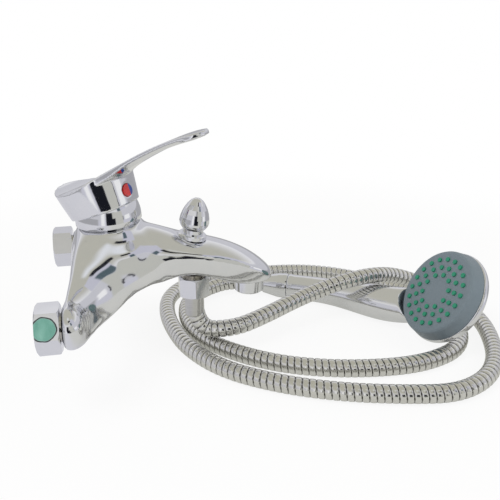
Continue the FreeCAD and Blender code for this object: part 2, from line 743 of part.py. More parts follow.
# Dome cover: a ball around the lever pivot, so that the skirt follows it at every angle
cover_ball = doc.addObject("Part::Sphere", "cover_ball")
bind(cover_ball, "Radius", dome_r)
cover_ball.Angle1 = 0
bind(cover_ball, "Angle2", dome_open)
place(cover_ball, pivot, dome_axis)
cover_foot = doc.addObject("Part::Cylinder", "cover_foot")
bind(cover_foot, "Radius", dome_r)
bind(cover_foot, "Height", dome_foot_s)
place(cover_foot, along(pivot_point, dome_axis, -dome_foot_s), dome_axis)
cover_hollow = doc.addObject("Part::Sphere", "cover_hollow")
bind(cover_hollow, "Radius", neck_r - 0.5)
place(cover_hollow, pivot, dome_axis)
cover_bore = doc.addObject("Part::Cylinder", "cover_bore")
bind(cover_bore, "Radius", neck_r + seat_gap)
bind(cover_bore, "Height", dome_foot_s)
place(cover_bore, along(pivot_point, dome_axis, -dome_foot_s - 0.95), dome_axis)
cover_outside = joined("cover_outside", [cover_ball, cover_foot])
keep(without("cover_cut", cover_outside, [cover_hollow, cover_bore]), "dome_cover")

# Lever
skirt_rows = [(0, 0, 0), (10, 1.9, -0.6), (20, 3.55, -1.15), (28, 4.6, -1.6)]
skirt_wires = []
for height, grow, shift in skirt_rows:
    ring = Part.Circle(V(shift, 0, height), V(0, 0, 1), skirt_r.value + grow).toShape()
    skirt_wires.append(Part.Wire([ring]))
skirt_blank = solid("lever_skirt", Part.makeLoft(skirt_wires, True, False))
skirt_blank.Placement = lever_place

top_line = [(-40, 31), (-31, 26), (-25, 23.4), (-15, 21), (-5, 20.4), (5, 21), (15, 23.7), (26, 26.4), (42, 29.3),
            (59, 32), (75, 33.8), (92, 34.6), (blade_end.value, 33.8), (blade_end.value + 12, 32)]


def top_at(u):
    for first, second in zip(top_line[:-1], top_line[1:]):
        if first[0] <= u <= second[0]:
            share = (u - first[0]) / (second[0] - first[0])
            return first[1] + share * (second[1] - first[1])
    return top_line[-1][1]


crest = Part.BSplineCurve()
crest.interpolate([V(u, -45, t) for u, t in top_line])
crest_edge = crest.toShape()
lid_left = V(top_line[0][0], -45, 70)
lid_right = V(top_line[-1][0], -45, 70)
lid_wire = Part.Wire([crest_edge, Part.makeLine(V(*[top_line[-1][0], -45, top_line[-1][1]]), lid_right),
                      Part.makeLine(lid_right, lid_left),
                      Part.makeLine(lid_left, V(top_line[0][0], -45, top_line[0][1]))])
lid = solid("lever_lid", Part.Face(lid_wire).extrude(V(0, 90, 0)))
lid.Placement = lever_place

blade_rows = [
    (4, 24.0, 5.0, 12.0),
    (16, 22.3, 4.8, 16.8),
    (28, 17.2, 4.6, 20.0),
    (37, 14.6, 3.6, 22.6),
    (45, 13.5, 2.7, 24.6),
    (59, 13.0, 2.4, 27.2),
    (75, 12.2, 2.1, 29.4),
    (91, 11.6, 1.8, 30.0),
    (101, 9.6, 1.8, 30.0),
    (107, 5.6, 1.8, 30.4),
]
length_share = blade_end.value / 109.0


def blade_wire(u, half, edge, keel):
    u = u * length_share
    top = top_at(u)
    points = [V(u, -half, top + 4), V(u, half, top + 4), V(u, half, top - edge), V(u, half * 0.35, keel),
              V(u, -half * 0.35, keel), V(u, -half, top - edge)]
    return Part.makePolygon(points + [points[0]])


blade = solid("lever_blade", Part.makeLoft([blade_wire(*row) for row in blade_rows], True, False))
blade.Placement = lever_place
tip = doc.addObject("Part::Cylinder", "lever_tip")
tip_r = 10.4
tip.Radius = tip_r
tip.Height = 3.4
tip.Placement = lever_place.multiply(FreeCAD.Placement(V(blade_end.value - tip_r, 0, 30.8), FreeCAD.Rotation()))
lever_outside = joined("lever_outside", [skirt_blank, blade, tip])
lever_trimmed = without("lever_trimmed", lever_outside, [lid])

cavity = doc.addObject("Part::Cylinder", "lever_cavity")
bind(cavity, "Radius", dome_r)
bind(cavity, "Height", cavity_top + 1)
cavity.Placement = lever_place.multiply(FreeCAD.Placement(V(0, 0, -1), FreeCAD.Rotation()))
hub = doc.addObject("Part::Cylinder", "lever_hub")
bind(hub, "Radius", hub_r)
bind(hub, "Height", cavity_top)
hub.Placement = lever_place.multiply(FreeCAD.Placement(V(0, 0, 2), FreeCAD.Rotation()))
cavity_ring = without("cavity_ring", cavity, [hub])
socket = doc.addObject("Part::Box", "stem_socket")
bind(socket, "Length", (stem_half + seat_gap) * 2)
bind(socket, "Width", (stem_half + seat_gap) * 2)
socket.Height = 14
socket_corner = V(-stem_half.value - seat_gap.value, -stem_half.value - seat_gap.value, -1)
socket.Placement = lever_place.multiply(FreeCAD.Placement(socket_corner, FreeCAD.Rotation()))


def lever_point(u, w, t):
    return lever_place.multVec(V(u, w, t))


rise = index_rise.value
screw_hole = rod("screw_hole", screw_r + seat_gap, lever_point(stem_half.value, 0, rise), lever_point(30, 0, rise))
index_seat_u = skirt_r.value - 1.2
index_hole = rod("index_hole", index_r + seat_gap, lever_point(index_seat_u, 0, rise), lever_point(34, 0, rise))
keep(without("lever_cut", lever_trimmed, [cavity_ring, socket, screw_hole, index_hole]), "lever_handle")

screw_start = stem_half.value + seat_gap.value + 0.02
keep(rod("lever_grub_screw", screw_r, lever_point(screw_start, 0, rise), lever_point(screw_start + 5, 0, rise)),
     "lever_grub_screw")
index_end = skirt_r.value + 1.9
keep(rod("index_plug", index_r, lever_point(index_seat_u + 0.05, 0, rise), lever_point(index_end, 0, rise)),
     "index_plug")

# Diverter, measured along its own axis from the top of the spout
diverter_at = (knob_x, 0, knob_z)
turned_node("diverter_bush",
            [(stem_r + turn_gap, -6), (chamber_r - seat_gap, -6), (chamber_r - seat_gap, 0), (collar_r, 0),
             (collar_r, collar_rise - 0.8), (collar_r - 0.8, collar_rise), (bush_r, collar_rise),
             (bush_r, bush_top), (stem_r + turn_gap, bush_top)], diverter_at, knob_axis)
knob_low = bush_top + face_gap
knob_top = knob_low + knob_height
knob = new_body("diverter_knob")
revolved(knob, [(stem_r + seat_gap, knob_low), (knob_r * 0.74, knob_low), (knob_r * 0.86, knob_low + 1.6),
                (knob_r * 0.96, knob_low + 3.6), (knob_r, knob_low + 5.6), (knob_r * 0.97, knob_low + 9),
                (knob_r * 0.89, knob_low + 12.5), (knob_r * 0.77, knob_low + 16), (knob_r * 0.6, knob_low + 19.4),
                (knob_r * 0.42, knob_low + 22), (knob_r * 0.22, knob_top - 0.6), (0, knob_top),
                (0, knob_low + 12), (stem_r + seat_gap, knob_low + 12)])
place(knob, diverter_at, knob_axis)
keep(knob, "diverter_knob")
valve_low = -chamber_depth + face_gap
valve_top = valve_low + valve_thick
turned_node("diverter_stem",
            [(0, valve_top), (stem_r, valve_top), (stem_r, knob_low + 11.9), (0, knob_low + 11.9)],
            diverter_at, knob_axis)
turned_node("diverter_valve",
            [(0, valve_low), (valve_r - 0.8, valve_low), (valve_r, valve_low + 0.8), (valve_r, valve_top - 0.8),
             (valve_r - 0.8, valve_top), (0, valve_top)], diverter_at, knob_axis)

# Aerator
aerator_at = (aerator_x, 0, aerator_top_z)
turned_node("aerator_housing",
            [(aerator_thread_r - 1.2, 0.2 - aerator_length), (aerator_r - 0.8, -aerator_length),
             (aerator_r, 0.8 - aerator_length), (aerator_r, 0), (aerator_thread_r, 0),
             (aerator_thread_r, aerator_screw), (aerator_thread_r - 1.2, aerator_screw)], aerator_at)
aerator_insert = new_body("aerator_insert")
insert_r = aerator_thread_r - 1.2 - seat_gap
revolved(aerator_insert, [(0, 0.8 - aerator_length), (insert_r, 0.8 - aerator_length), (insert_r, aerator_screw - 0.2),
                          (0, aerator_screw - 0.2)])


def stream_hole(sketch):
    circle(sketch, insert_r * 0.6, 0, 1)


def stream_centre(sketch):
    circle(sketch, 0, 0, 1.4)


repeated(aerator_insert, drilled(aerator_insert, stream_hole, "stream"), 8)
drilled(aerator_insert, stream_centre, "stream_centre")
place(aerator_insert, aerator_at)
keep(aerator_insert, "aerator_insert")
turned_node("aerator_gasket",
            [(aerator_thread_r - 3, aerator_screw), (aerator_thread_r - 0.1, aerator_screw),
             (aerator_thread_r - 0.1, aerator_screw + 2), (aerator_thread_r - 3, aerator_screw + 2)], aerator_at)

# Shower outlet
outlet_at = (outlet_x, 0, 0)
nipple_low = outlet_z - 10.2
turned_node("outlet_nipple",
            [(nipple_bore_r, nipple_low), (nipple_r - 0.6, nipple_low), (nipple_r, nipple_low + 0.6),
             (nipple_r, outlet_z), (nipple_seat_r, outlet_z), (nipple_seat_r, nipple_seat_z),
             (nipple_bore_r, nipple_seat_z)], outlet_at)
hose_nut = bevelled_nut("hose_nut", hose_nut_flat, hose_nut_length, (outlet_x, 0, hose_nut_top - hose_nut_length),
                        None, 30)
nut_wall = 2
grooved(hose_nut, [(0, 0), (ferrule_r + turn_gap, 0), (ferrule_r + turn_gap, nut_wall),
                   (nipple_r + turn_gap, nut_wall), (nipple_r + turn_gap, hose_nut_length), (0, hose_nut_length)])
turned_node("hose_washer",
            [(nipple_bore_r, nipple_low - washer_thick), (nipple_r - 0.2, nipple_low - washer_thick),
             (nipple_r - 0.2, nipple_low), (nipple_bore_r, nipple_low)], outlet_at)
ferrule_top = nipple_low - washer_thick
nut_seat_z = hose_nut_top - hose_nut_length + nut_wall + face_gap
ferrule_low = hose_start_z - ferrule_length
turned_node("hose_ferrule_tap",
            [(hose_bore_r, ferrule_top), (nipple_r - 0.2, ferrule_top), (nipple_r - 0.2, nut_seat_z),
             (ferrule_r, nut_seat_z), (ferrule_r, ferrule_low + 1), (ferrule_r - 0.4, ferrule_low),
             (hose_r + seat_gap, ferrule_low), (hose_r + seat_gap, hose_start_z),
             (hose_bore_r, hose_start_z)], outlet_at)

# Handset axis at the cone nut
cone_c = degrees_cos(cone_turn)
cone_s = degrees_sin(cone_turn)
cone_dir = V(cone_c, -cone_s, 0)
cone_z = table_z + cone_large_r
cone_at = (cone_x, cone_y, cone_z)
cone_point = V(cone_x.value, cone_y.value, cone_z.value)

# Hose route: straight runs rounded into each other by tangent arcs
hose_z = table_z.value + hose_r.value
hose_end = V(*along(cone_point, cone_dir, 2))
last_corner = V(*along(hose_end, cone_dir, -30))
route = [
    (outlet_x.value, 0, hose_start_z.value), (outlet_x.value, 0, -51), (140, -8, -50), (169, 4, -47), (198, 22, -40),
    (222, 32, -30), (246, 33, -18), (274, 36, -18), (300, 46, -32), (328, 46, -46), (353, 24, -59),
    (361, -8, hose_z), (352, -40, hose_z), (338, -71, hose_z), (316, -95, hose_z), (286, -107, hose_z),
    (252, -102, hose_z), (206, -90, hose_z), (164, -71, hose_z), (126, -43, hose_z), (103, -6, hose_z),
    (94, 30, hose_z), (91, 62, hose_z), (95, 92, hose_z), (113, 117, hose_z), (142, 128, hose_z),
    (178, 132, hose_z), (214, 132, hose_z), (250, 124, hose_z), (284, 102, hose_z), (314, 72, hose_z),
    (334, 38, hose_z), (340, -4, hose_z), (322, -47, hose_z), (285, -64, hose_z), (244, -65, hose_z),
    (199, -56, hose_z), (160, -38, hose_z), (125, -6, hose_z), (111, 22, hose_z), (107, 51.4, hose_z),
    (112.2, 80.9, hose_z), (133.5, 102, hose_z + 2), tuple(last_corner), tuple(hose_end),
]
stations = [V(*point) for point in route]


def rounded_route(points):
    pieces = []
    start = points[0]
    smallest = 1e9
    for number in range(1, len(points) - 1):
        before = points[number] - points[number - 1]
        after = points[number + 1] - points[number]
        first_run = before.Length
        second_run = after.Length
        before.normalize()
        after.normalize()
        half_turn = before.getAngle(after) / 2
        reach = 0.45 * min(first_run, second_run)
        radius = reach / math.tan(half_turn)
        smallest = min(smallest, radius)
        arc_start = points[number] - before * reach
        arc_stop = points[number] + after * reach
        inward = after - before
        inward.normalize()
        middle = points[number] + inward * (math.hypot(radius, reach) - radius)
        pieces.append(("run", start, arc_start, 0.0))
        pieces.append(("bend", arc_start, middle, arc_stop, radius, before, half_turn * 2))
        start = arc_stop
    pieces.append(("run", start, points[-1], 0.0))
    return pieces, smallest


pieces, smallest_radius = rounded_route(stations)
edges = []
hose_length = 0.0
for piece in pieces:
    if piece[0] == "run":
        edges.append(Part.LineSegment(piece[1], piece[2]).toShape())
    else:
        edges.append(Part.Arc(piece[1], piece[2], piece[3]).toShape())
    hose_length += edges[-1].Length
hose_path = Part.Wire(edges)


def station(distance):
    left = distance
    for piece, edge in zip(pieces, edges):
        if left > edge.Length and edge is not edges[-1]:
            left -= edge.Length
            continue
        share = min(1.0, left / edge.Length)
        if piece[0] == "run":
            heading = piece[2] - piece[1]
            heading.normalize()
            return piece[1] + (piece[2] - piece[1]) * share, heading
        heading = V(piece[5])
        inward = piece[3] - piece[1]
        inward = inward - heading * inward.dot(heading)
        inward.normalize()
        centre = piece[1] + inward * piece[4]
        angle = piece[6] * share
        point = centre - inward * (piece[4] * math.cos(angle)) + heading * (piece[4] * math.sin(angle))
        return point, heading * math.cos(angle) + inward * math.sin(angle)


def tube(radius):
    shell = Part.BRepOffsetAPI.MakePipeShell(hose_path)
    ring = Part.Circle(stations[0], stations[1] - stations[0], radius).toShape()
    shell.add(Part.Wire([ring]))
    shell.build()
    return shell


rib_count = 0
tube_outer = tube(hose_r.value)
tube_outer.makeSolid()
tube_inner = tube(hose_bore_r.value)
tube_inner.makeSolid()
hose_shape = tube_outer.shape().cut(tube_inner.shape())
hose = solid("shower_hose", hose_shape)
keep(hose, "shower_hose")
wall_area = math.pi * (hose_r.value ** 2 - hose_bore_r.value ** 2)
print("hose length", round(hose_length, 1), "smallest bend", round(smallest_radius, 1),
      "volume", round(hose_shape.Volume), "section x length", round(wall_area * hose_length))

# Cone nut, ferrule and washer at the handset end
handset_start = cone_length + face_gap
cone_wall = 10
turned_node("cone_nut",
            [(hose_r + 0.6 + turn_gap, 0), (cone_small_r, 0), (cone_large_r - 0.5, cone_length * 0.6),
             (cone_large_r, cone_length * 0.85), (cone_large_r, cone_length - 1),
             (cone_large_r - 0.4, cone_length), (nipple_r - 0.4 + turn_gap, cone_length),
             (nipple_r - 0.4 + turn_gap, cone_wall + 2), (hose_r + 0.6 + turn_gap, cone_wall)],
            cone_at, cone_dir)
ferrule_end = cone_wall + 5
turned_node("hose_ferrule_handset",
            [(hose_r + seat_gap, -14), (hose_r + 0.5, -14), (hose_r + 0.6, -13), (hose_r + 0.6, cone_wall + 2.6),
             (nipple_r - 0.6, cone_wall + 2.6), (nipple_r - 0.6, ferrule_end), (hose_bore_r, ferrule_end),
             (hose_bore_r, 2), (hose_r + seat_gap, 2)], cone_at, cone_dir)
turned_node("handset_washer",
            [(hose_bore_r, ferrule_end), (nipple_r - 0.6, ferrule_end), (nipple_r - 0.6, ferrule_end + washer_thick),
             (hose_bore_r, ferrule_end + washer_thick)], cone_at, cone_dir)
thread_start = ferrule_end + washer_thick

# Handset shell: threaded end, swelling handle and dished head
head_point = V(head_x.value, head_y.value, head_z.value)
head_dir = V(-0.836, -0.08, 0.543)
head_dir.normalize()
thread_end = new_body("handset_thread")
revolved(thread_end, [(0, thread_start), (nipple_r - 0.4, thread_start), (nipple_r - 0.4, handset_start),
                      (handle_r + 0.5, handset_start), (handle_r + 0.5, handset_start + 3.4),
                      (handle_r - 1, handset_start + 4.4), (0, handset_start + 4.4)])
place(thread_end, cone_at, cone_dir)
handle_start = V(*along(cone_point, cone_dir, handset_start + 1))
handle_rows = [
    (handle_start, cone_dir, handle_r.value, 1.0),
    (V(238, 66, -58.9), V(0.78, -0.62, 0.06), handle_r.value + 0.6, 1.0),
    (V(262, 42, -56.6), V(0.68, -0.70, 0.14), handle_r.value + 2.6, 0.95),
    (V(285, 17.5, -53.6), V(0.66, -0.72, 0.17), handle_r.value + 5, 0.83),
    (V(298, 5, -50.8), V(0.64, -0.73, 0.22), handle_r.value + 4.8, 0.7),
    (V(314, -12, -46), V(0.62, -0.74, 0.26), handle_r.value + 0.4, 0.6),
]
handle_wires = []
for centre, heading, radius, flatness in handle_rows:
    heading.normalize()
    broad = heading.cross(head_dir)
    broad.normalize()
    thin = broad.cross(heading)
    spots = []
    for eighth in range(9):
        angle = math.radians(45 * eighth)
        spots.append(centre + broad * (radius * math.cos(angle)) + thin * (radius * flatness * math.sin(angle)))
    arcs = [Part.Arc(spots[corner], spots[corner + 1], spots[corner + 2]).toShape() for corner in (0, 2, 4, 6)]
    handle_wires.append(Part.Wire(arcs))
handle = solid("handset_handle", Part.makeLoft(handle_wires, True, False))
dish = new_body("handset_dish")
shell_r = head_r + 2.6
shell_back = -rim_depth - shell_depth
revolved(dish, [(0, -rim_depth), (shell_r, -rim_depth), (shell_r + 0.2, -rim_depth - shell_depth * 0.3),
                (shell_r - 0.8, -rim_depth - shell_depth * 0.6), (shell_r - 4, -rim_depth - shell_depth * 0.85),
                (shell_r - 11, shell_back - 1), (shell_r - 20, shell_back - 2.4), (0, shell_back - 3)])
place(dish, (head_x, head_y, head_z), head_dir)
plenum = new_body("handset_plenum")
plenum_r = head_r - 3.2
revolved(plenum, [(0, 1 - rim_depth), (plenum_r, 1 - rim_depth), (plenum_r, -rim_depth - 2),
                  (plenum_r - 4, -rim_depth - shell_depth * 0.5), (0, shell_back)])
place(plenum, (head_x, head_y, head_z), head_dir)
face_side = doc.addObject("Part::Cylinder", "face_side")
bind(face_side, "Radius", head_r + 2.3)
face_side.Height = 30
place(face_side, along(head_point, head_dir, -rim_depth - 0.5), head_dir)
handle_trimmed = without("handle_trimmed", handle, [face_side])
handset_outside = joined("handset_outside", [thread_end, handle_trimmed, dish])
bend_point = V(246, 57.5, -57.5)
under_rim = V(302.7, 5.4, -54)
plenum_entry = V(310, -6.7, -44.3)
bore_start = V(*along(cone_point, cone_dir, thread_start - 1))
handset_bores = []
for radius, first, second in ((5, bore_start, bend_point), (3.8, bend_point, under_rim),
                              (3.7, under_rim, plenum_entry)):
    onward = second - first
    onward.normalize()
    handset_bores.append(rod("handset_waterway", radius, first - onward * (radius / 2), second + onward * (radius / 2)))
keep(without("handset_cut", handset_outside, [plenum] + handset_bores), "handset_body")

# Spray face: grey cup with three rings of holes, soft nozzle mat behind it
plate = new_body("handset_face_plate")
mat_seat = -plate_thick - 0.02
revolved(plate, [(0, 0), (head_r - 2, 0), (head_r - 0.8, -0.6), (head_r, -2), (head_r + 2, 0.6 - rim_depth),
                 (head_r + 1.2, 0.02 - rim_depth), (head_r - 2, 0.02 - rim_depth), (head_r - 2, -plate_thick), (0, -plate_thick)])
mat = new_body("nozzle_mat")
mat_r = head_r - 2 - seat_gap
revolved(mat, [(0, mat_seat - 1.6), (mat_r, mat_seat - 1.6), (mat_r, mat_seat), (0, mat_seat)])
rings = ((ring_outer, 20, 5.17, "outer"), (ring_middle, 15, 8.37, "middle"), (ring_inner, 10, 14.17, "inner"))


def on_ring(sketch, ring_r, angle, radius):
    circle(sketch, ring_r * math.cos(math.radians(angle)), ring_r * math.sin(math.radians(angle)), radius)


for ring_r, count, angle, name in rings:
    hole = drilled(plate, lambda sketch: on_ring(sketch, ring_r, angle, nozzle_r + seat_gap), name)
    repeated(plate, hole, count)
for ring_r, count, angle, name in rings:
    nub = padded(mat, lambda sketch: on_ring(sketch, ring_r, angle, nozzle_r), nozzle_rise + plate_thick + 1, name)
    sketch = nub.Profile[0]
    sketch.AttachmentOffset = FreeCAD.Placement(V(0, 0, mat_seat.value - 1), FreeCAD.Rotation())
    bind(nub, "Length", nozzle_rise + plate_thick + 1)
    repeated(mat, nub, count)
for thing in (plate, mat):
    place(thing, (head_x, head_y, head_z), head_dir)
keep(plate, "handset_face_plate")
keep(mat, "nozzle_mat")
seal_top = mat_seat - 1.6
turned_node("handset_seal",
            [(plenum_r + 0.2, 0.02 - rim_depth), (mat_r, 0.02 - rim_depth), (mat_r, seal_top), (plenum_r + 0.2, seal_top)],
            (head_x, head_y, head_z), head_dir)

doc.recompute()

# Checks before writing
bad = []
for thing in doc.Objects:
    if "Invalid" in thing.State or "Error" in thing.State:
        bad.append(thing.Name + " state " + " ".join(thing.State))
for thing in nodes:
    if thing.Shape.isNull() or not thing.Shape.isValid():
        bad.append(thing.Label + " shape")
    if len(thing.Shape.Solids) < 1:
        bad.append(thing.Label + " has no solid")
if bad:
    raise ValueError("; ".join(bad))

os.makedirs("parts", exist_ok=True)
for thing in nodes:
    shape = thing.Shape
    if len(shape.Solids) == 1:
        shape = shape.Solids[0]
    shape.exportStep("parts/" + thing.Label + ".step")
    box = shape.BoundBox
    print(thing.Label, len(shape.Solids), round(shape.Volume, 1), round(box.XMin, 1), round(box.XMax, 1),
          round(box.YMin, 1), round(box.YMax, 1), round(box.ZMin, 1), round(box.ZMax, 1))
print(len(nodes), "nodes")
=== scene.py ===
import json
import math

import bmesh
import bpy
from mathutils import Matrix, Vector


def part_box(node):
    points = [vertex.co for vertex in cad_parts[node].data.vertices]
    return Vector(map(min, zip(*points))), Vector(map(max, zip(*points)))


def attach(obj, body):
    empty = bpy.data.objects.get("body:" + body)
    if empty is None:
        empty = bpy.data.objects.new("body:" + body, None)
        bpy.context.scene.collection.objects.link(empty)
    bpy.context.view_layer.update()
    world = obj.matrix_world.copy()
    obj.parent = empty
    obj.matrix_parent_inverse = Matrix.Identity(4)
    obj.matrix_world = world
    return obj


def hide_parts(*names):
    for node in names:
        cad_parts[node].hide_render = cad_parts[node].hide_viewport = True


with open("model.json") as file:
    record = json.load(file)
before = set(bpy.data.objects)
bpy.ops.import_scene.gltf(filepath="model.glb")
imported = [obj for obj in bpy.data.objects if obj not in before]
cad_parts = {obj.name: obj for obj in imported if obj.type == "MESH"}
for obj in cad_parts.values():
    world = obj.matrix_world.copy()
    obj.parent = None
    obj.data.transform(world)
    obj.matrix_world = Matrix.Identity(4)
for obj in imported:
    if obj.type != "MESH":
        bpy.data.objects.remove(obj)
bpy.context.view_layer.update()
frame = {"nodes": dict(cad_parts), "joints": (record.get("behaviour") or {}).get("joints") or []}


# Camera

focal_mm = 46.43
sensor_mm = 36
camera_place = (0.06271, -0.4629, 0.20084)
camera_tilt = 68.421
camera_turn = -11.325


def set_camera():
    lens = bpy.data.cameras.new("camera")
    lens.lens = focal_mm
    lens.sensor_width = sensor_mm
    lens.clip_start = 0.01
    camera = bpy.data.objects.new("camera", lens)
    camera.location = camera_place
    camera.rotation_euler = (math.radians(camera_tilt), 0, math.radians(camera_turn))
    bpy.context.collection.objects.link(camera)
    bpy.context.scene.camera = camera


set_camera()


# Shader maths

class Level:
    """A shader socket that takes part in ordinary arithmetic."""

    def __init__(self, tree, socket):
        self.tree = tree
        self.socket = socket

    def maths(self, operation, *values):
        return node(self.tree, "ShaderNodeMath", {"operation": operation}, *values)

    def __add__(self, other):
        return self.maths("ADD", self, other)

    def __radd__(self, other):
        return self.maths("ADD", other, self)

    def __sub__(self, other):
        return self.maths("SUBTRACT", self, other)

    def __rsub__(self, other):
        return self.maths("SUBTRACT", other, self)

    def __mul__(self, other):
        return self.maths("MULTIPLY", self, other)

    def __rmul__(self, other):
        return self.maths("MULTIPLY", other, self)

    def step(self, start, end):
        """0 before start, 1 after end, and a soft rise between them."""
        return node(
            self.tree,
            "ShaderNodeMapRange",
            {"interpolation_type": "SMOOTHSTEP"},
            Value=self,
            **{"From Min": start, "From Max": end},
        )


def node(tree, kind, settings=None, *values, out=0, **named):
    """Add a node, set it, fill its sockets in order or by name, give one output."""
    made = tree.nodes.new(kind)
    for name, value in (settings or {}).items():
        setattr(made, name, value)
    sockets = list(zip(made.inputs, values))
    sockets += [(made.inputs[name], value) for name, value in named.items()]
    for socket, value in sockets:
        if isinstance(value, Level):
            tree.links.new(value.socket, socket)
        elif value is not None:
            socket.default_value = value
    return Level(tree, made.outputs[out])


def blend(tree, amount, first, second):
    """The first colour where amount is 0, the second where it is 1."""
    colours = [(*colour, 1) if isinstance(colour, tuple) else colour for colour in (first, second)]
    for_numbers_and_vectors = [None] * 5
    settings = {"data_type": "RGBA"}
    sockets = (amount, *for_numbers_and_vectors, *colours)
    return node(tree, "ShaderNodeMix", settings, *sockets, out=2)


def within(value, low, high, soft=1.5):
    """1 between low and high, 0 outside, with soft ends."""
    return value.step(low - soft, low + soft) * (1 - value.step(high - soft, high + soft))


class Finish:
    """A procedural material, with its shader and its place on the piece."""

    def __init__(self, name):
        self.material = bpy.data.materials.new(name)
        self.material.use_nodes = True
        self.tree = self.material.node_tree
        self.shader = self.tree.nodes["Principled BSDF"]
        self.place = self.add("ShaderNodeTexCoord", out=3)

    def add(self, kind, settings=None, *values, out=0, **named):
        return node(self.tree, kind, settings, *values, out=out, **named)

    def axis(self, name):
        return self.add("ShaderNodeSeparateXYZ", None, self.place, out="XYZ".index(name))

    def cloud(self, scale, detail=3, stretch=None):
        place = self.place
        if stretch:
            place = self.add("ShaderNodeMapping", None, place, Scale=stretch)
        return self.add("ShaderNodeTexNoise", None, Vector=place, Scale=scale, Detail=detail)

    def mix(self, amount, first, second):
        return blend(self.tree, amount, first, second)

    def set(self, **values):
        for name, value in values.items():
            socket = self.shader.inputs[name.replace("_", " ")]
            if isinstance(value, Level):
                self.tree.links.new(value.socket, socket)
            else:
                socket.default_value = (*value, 1) if isinstance(value, tuple) else value

    def bump(self, height, strength, distance):
        return self.add(
            "ShaderNodeBump",
            None,
            Height=height,
            Strength=strength,
            Distance=distance,
        )


# Finishes

chrome_dark = (0.74, 0.75, 0.78)
chrome_light = (0.80, 0.80, 0.81)


def chrome_finish():
    """Bright plate, with the faint waviness of polished castings and a few dull spots."""
    look = Finish("bright_chrome")
    waves = look.cloud(38, 2)
    haze = look.cloud(160, 4)
    colour = look.mix(haze, chrome_dark, chrome_light)
    look.set(
        Metallic=1.0,
        Base_Color=colour,
        Roughness=haze * 0.05 + 0.045,
        Normal=look.bump(waves, 0.12, 0.0006),
    )
    return look.material


def satin_finish():
    """Turned steel collar with fine rings from the lathe."""
    look = Finish("satin_collar")
    grain = look.cloud(900, 2, (0.02, 0.02, 1))
    look.set(
        Metallic=1.0,
        Base_Color=look.mix(grain, (0.46, 0.455, 0.44), (0.66, 0.655, 0.64)),
        Roughness=grain * 0.1 + 0.12,
        Normal=look.bump(grain, 0.15, 0.0002),
    )
    return look.material


def hose_finish():
    """Rolled strip, warm grey, with painted shade that makes it near black in the groove where the
    turns lock into each other.
    """
    look = Finish("wound_strip")
    painted_groove_shade = look.add("ShaderNodeAttribute", {"attribute_name": "groove"}, out=2)
    spots = look.cloud(420, 3)
    steel = look.mix(spots, (0.66, 0.655, 0.63), (0.80, 0.795, 0.77))
    look.set(
        Metallic=1.0,
        # Painted shade: the strip's colour goes near black in the groove between the turns
        Base_Color=look.mix(painted_groove_shade, steel, (0.05, 0.045, 0.038)),
        Roughness=spots * 0.08 + 0.11 + painted_groove_shade * 0.35,
        Normal=look.bump(spots, 0.1, 0.0003),
    )
    return look.material


def brass_finish():
    """Turned brass under thin nickel plate, a little warmer than the chrome."""
    look = Finish("plated_brass")
    grain = look.cloud(300, 3)
    look.set(
        Metallic=1.0,
        Base_Color=look.mix(grain, (0.52, 0.50, 0.45), (0.60, 0.58, 0.53)),
        Roughness=grain * 0.1 + 0.14,
    )
    return look.material


def steel_finish():
    look = Finish("bare_steel")
    grain = look.cloud(500, 3)
    look.set(
        Metallic=1.0,
        Base_Color=look.mix(grain, (0.48, 0.48, 0.48), (0.60, 0.60, 0.59)),
        Roughness=grain * 0.15 + 0.28,
    )
    return look.material


def rubber_finish():
    look = Finish("washer_rubber")
    dust = look.cloud(350, 4)
    look.set(
        Base_Color=look.mix(dust, (0.018, 0.018, 0.018), (0.045, 0.044, 0.042)),
        Roughness=dust * 0.2 + 0.6,
        Normal=look.bump(dust, 0.2, 0.0003),
    )
    return look.material


def plain_plastic(name, dark, light, roughness):
    look = Finish(name)
    tone = look.cloud(220, 4)
    look.set(
        Base_Color=look.mix(tone, dark, light),
        Roughness=tone * 0.1 + roughness,
        Normal=look.bump(look.cloud(1500, 2), 0.08, 0.0002),
    )
    return look.material


def index_finish():
    """Round mark: red on the hot side, blue on the cold side, under clear lacquer."""
    look = Finish("hot_cold_mark")
    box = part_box("index_plug")
    middle = [(a + b) / 2 for a, b in zip(*box)]
    blue_start = 0.0011
    turn = math.radians(40)
    across = look.axis("X") * math.sin(turn) + look.axis("Y") * math.cos(turn)
    middle_across = middle[0] * math.sin(turn) + middle[1] * math.cos(turn)
    side = (across - middle_across).step(blue_start, blue_start + 0.0004)
    look.set(
        Base_Color=look.mix(side, (0.62, 0.015, 0.012), (0.012, 0.05, 0.28)),
        Roughness=look.cloud(200, 2) * 0.06 + 0.12,
        Coat_Weight=0.6,
    )
    return look.material


film_middle = (0.0062, -0.0888, 0.0066)
film_reach = 0.0074


def filmed_finish():
    """The near nut's chrome, with a rest of green protective film on its front flat."""
    look = Finish("filmed_chrome")
    waves = look.cloud(38, 2)
    haze = look.cloud(160, 4)
    offsets = [look.axis(name) - value for name, value in zip("XYZ", film_middle)]
    squares = sum(offset * offset for offset in offsets)
    away = squares.maths("SQRT", squares)
    edge = away + (haze - 0.5) * 0.0016
    film = 1 - edge.step(film_reach - 0.0003, film_reach)
    rim = within(edge, film_reach - 0.0001, film_reach + 0.0007, 0.0002)
    chrome = look.mix(haze, chrome_dark, chrome_light)
    streaks = look.cloud(210, 3, (1, 0.4, 0.4))
    green = look.mix(streaks, (0.07, 0.26, 0.20), (0.30, 0.56, 0.48))
    colour = look.mix(rim, look.mix(film, chrome, green), (0.05, 0.07, 0.07))
    look.set(
        Metallic=1 - film * 0.75,
        Base_Color=colour,
        Roughness=haze * 0.05 + 0.045 + film * 0.15,
        Normal=look.bump(waves, 0.12, 0.0006),
    )
    return look.material


